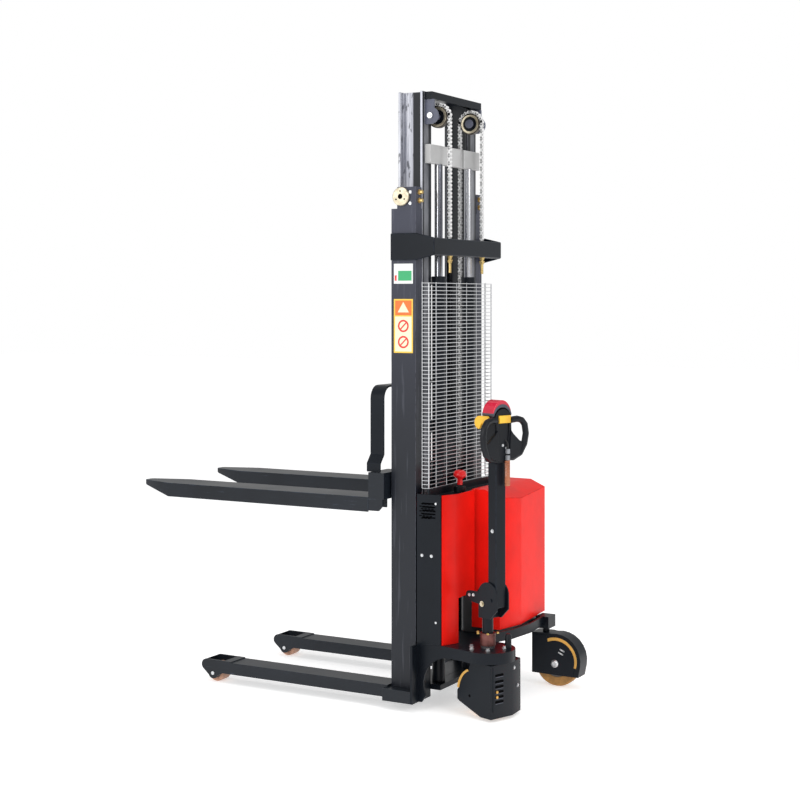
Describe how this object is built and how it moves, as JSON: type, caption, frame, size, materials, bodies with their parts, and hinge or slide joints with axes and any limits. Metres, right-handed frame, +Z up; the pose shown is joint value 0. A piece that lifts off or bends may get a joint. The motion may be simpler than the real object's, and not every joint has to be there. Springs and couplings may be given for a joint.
{
  "type": "walkie stacker",
  "caption": "Pedestrian electric fork lift with straddle legs, a two-stage mast, pallet forks, a steered drive unit with an upright tiller and a side caster.",
  "frame": {"origin": "on the floor under the centre of the overall footprint", "axes": "+X towards the fork tips, +Y to the truck's left, +Z up along the mast"},
  "size_m": [1.8368, 0.8014, 2.5],
  "materials": {
    "black_paint": "satin",
    "worn_steel": "scratched satin",
    "red_paint": "gloss",
    "chrome": "polished",
    "grey_paint": "satin",
    "zinc": "yellow zinc",
    "chain_steel": "oiled",
    "guard_wire": "galvanised",
    "tan_tyre": "matte polyurethane",
    "amber_tyre": "satin polyurethane",
    "copper_ring": "dull copper",
    "black_plastic": "fine grain",
    "red_plastic": "gloss",
    "yellow_plastic": "satin",
    "battery_case": "matte",
    "cast_metal": "cast"
  },
  "bodies": {
    "chassis": {"chassis_base": "black_paint", "mast_lower_tie": "black_paint", "mast_cross_brace": "black_paint", "leg_left": "black_paint", "leg_right": "black_paint", "load_axle_left": "zinc", "load_axle_right": "zinc", "outer_mast_left": "black_paint", "outer_mast_right": "black_paint", "lift_cylinder_left": "black_paint", "lift_cylinder_right": "black_paint", "side_panel_left": "black_paint", "side_panel_right": "black_paint", "mesh_guard": "guard_wire", "rear_cover_left": "red_paint", "battery_cover": "red_paint", "top_panel": "black_paint", "battery_pack": "battery_case", "pump_motor": "cast_metal", "oil_tank": "battery_case", "motor_controller": "cast_metal", "emergency_stop_base": "black_plastic"},
    "inner_mast": {"inner_mast_crosshead": "black_paint", "inner_mast_crossbar": "grey_paint", "inner_mast_tie": "black_paint", "inner_mast_left": "worn_steel", "inner_mast_right": "worn_steel", "piston_rod_left": "chrome", "piston_rod_right": "chrome", "pulley_bracket_left": "black_paint", "pulley_bracket_right": "black_paint", "lift_chain_left": "chain_steel", "lift_chain_right": "chain_steel"},
    "carriage": {"carriage_frame": "black_paint", "load_backrest": "black_paint", "fork_left": "black_paint", "fork_right": "black_paint"},
    "drive_unit": {"drive_gearbox": "cast_metal", "drive_motor": "cast_metal", "drive_cover": "black_paint", "steering_ring": "copper_ring", "tiller_bracket": "black_paint"},
    "drive_wheel": {"drive_wheel": "amber_tyre"},
    "tiller": {"tiller_arm": "black_paint", "tiller_head": "black_plastic"},
    "throttle": {"throttle_butterfly": "yellow_plastic"},
    "lift_button": {"lift_button": "yellow_plastic"},
    "belly_button": {"belly_button": "red_plastic"},
    "emergency_stop": {"emergency_stop_button": "red_plastic"},
    "caster": {"caster_fork": "zinc", "caster_cover": "black_paint"},
    "caster_wheel": {"caster_wheel": "amber_tyre"},
    "top_roller_left": {"top_roller_left": "zinc"},
    "load_wheel_left": {"load_wheel_left": "tan_tyre"},
    "chain_pulley_left": {"chain_pulley_left": "zinc"},
    "carriage_roller_left": {"carriage_roller_left": "zinc"},
    "top_roller_right": {"top_roller_right": "zinc"},
    "load_wheel_right": {"load_wheel_right": "tan_tyre"},
    "chain_pulley_right": {"chain_pulley_right": "zinc"},
    "carriage_roller_right": {"carriage_roller_right": "zinc"}
  },
  "joints": [
    {"name": "mast_lift", "type": "slide", "parent": "chassis", "child": "inner_mast", "axis": [0, 0, 1], "range_m": [-0.37, 1.05], "deforming": ["lift_chain_left", "lift_chain_right"]},
    {"name": "carriage_lift", "type": "slide", "parent": "inner_mast", "child": "carriage", "axis": [0, 0, 1], "range_m": [-0.37, 1.05]},
    {"name": "steering", "type": "hinge", "parent": "chassis", "child": "drive_unit", "pos_m": [-0.75164, 0.24531, 0.27], "axis": [0, 0, -1], "range_deg": [-109, 71]},
    {"name": "drive_wheel_roll", "type": "hinge", "parent": "drive_unit", "child": "drive_wheel", "pos_m": [-0.74029, 0.2414, 0.098], "axis": [0.3256, 0.9455, 0], "continuous": true},
    {"name": "tiller_tilt", "type": "hinge", "parent": "drive_unit", "child": "tiller", "pos_m": [-0.79891, 0.26159, 0.467], "axis": [-0.3256, -0.9455, 0], "range_deg": [0, 80], "stiffness_Nm_per_rad": 36, "springref_deg": -28.65},
    {"name": "throttle_turn", "type": "hinge", "parent": "tiller", "child": "throttle", "pos_m": [-0.78, 0.25508, 1.168], "axis": [0.3256, 0.9455, 0], "range_deg": [-20, 20], "stiffness_Nm_per_rad": 0.6},
    {"name": "lift_button_press", "type": "slide", "parent": "tiller", "child": "lift_button", "axis": [0.9455, -0.3256, 0], "range_m": [0, 0.002], "stiffness_N_per_m": 800, "springref_m": -0.001},
    {"name": "belly_button_press", "type": "slide", "parent": "tiller", "child": "belly_button", "axis": [0, 0, -1], "range_m": [0, 0.003], "stiffness_N_per_m": 1600, "springref_m": -0.002},
    {"name": "emergency_stop_press", "type": "slide", "parent": "chassis", "child": "emergency_stop", "axis": [0, 0, -1], "range_m": [0, 0.004], "stiffness_N_per_m": 1500, "springref_m": -0.001},
    {"name": "caster_swivel", "type": "hinge", "parent": "chassis", "child": "caster", "pos_m": [-0.74464, -0.34069, 0.22], "axis": [0, 0, 1], "continuous": true},
    {"name": "caster_wheel_roll", "type": "hinge", "parent": "caster", "child": "caster_wheel", "pos_m": [-0.80164, -0.34069, 0.1], "axis": [0, 1, 0], "continuous": true},
    {"name": "load_wheel_left_roll", "type": "hinge", "parent": "chassis", "child": "load_wheel_left", "pos_m": [0.51836, 0.29131, 0.04], "axis": [0, 1, 0], "continuous": true},
    {"name": "top_roller_left_turn", "type": "hinge", "parent": "chassis", "child": "top_roller_left", "pos_m": [-0.39814, 0.30331, 2.068], "axis": [0, 1, 0], "range_deg": [-1610, 570]},
    {"name": "chain_pulley_left_turn", "type": "hinge", "parent": "inner_mast", "child": "chain_pulley_left", "pos_m": [-0.48614, 0.16131, 2.4], "axis": [0, 1, 0], "range_deg": [-1160, 412]},
    {"name": "carriage_roller_left_turn", "type": "hinge", "parent": "carriage", "child": "carriage_roller_left", "pos_m": [-0.40564, 0.19331, 1.09], "axis": [0, 1, 0], "range_deg": [-475, 1340]},
    {"name": "load_wheel_right_roll", "type": "hinge", "parent": "chassis", "child": "load_wheel_right", "pos_m": [0.51836, -0.26469, 0.04], "axis": [0, 1, 0], "continuous": true},
    {"name": "top_roller_right_turn", "type": "hinge", "parent": "chassis", "child": "top_roller_right", "pos_m": [-0.39814, -0.27669, 2.068], "axis": [0, 1, 0], "range_deg": [-1610, 570]},
    {"name": "chain_pulley_right_turn", "type": "hinge", "parent": "inner_mast", "child": "chain_pulley_right", "pos_m": [-0.48614, -0.13469, 2.4], "axis": [0, 1, 0], "range_deg": [-1160, 412]},
    {"name": "carriage_roller_right_turn", "type": "hinge", "parent": "carriage", "child": "carriage_roller_right", "pos_m": [-0.40564, -0.16669, 1.09], "axis": [0, 1, 0], "range_deg": [-475, 1340]}
  ],
  "couplings": [
    {"joint": "carriage_lift", "follows": "mast_lift", "ratio": 1},
    {"joint": "chain_pulley_left_turn", "follows": "mast_lift", "rad_per_m": -19.23},
    {"joint": "top_roller_left_turn", "follows": "mast_lift", "rad_per_m": -26.67},
    {"joint": "carriage_roller_left_turn", "follows": "mast_lift", "rad_per_m": 22.22},
    {"joint": "chain_pulley_right_turn", "follows": "mast_lift", "rad_per_m": -19.23},
    {"joint": "top_roller_right_turn", "follows": "mast_lift", "rad_per_m": -26.67},
    {"joint": "carriage_roller_right_turn", "follows": "mast_lift", "rad_per_m": 22.22}
  ]
}
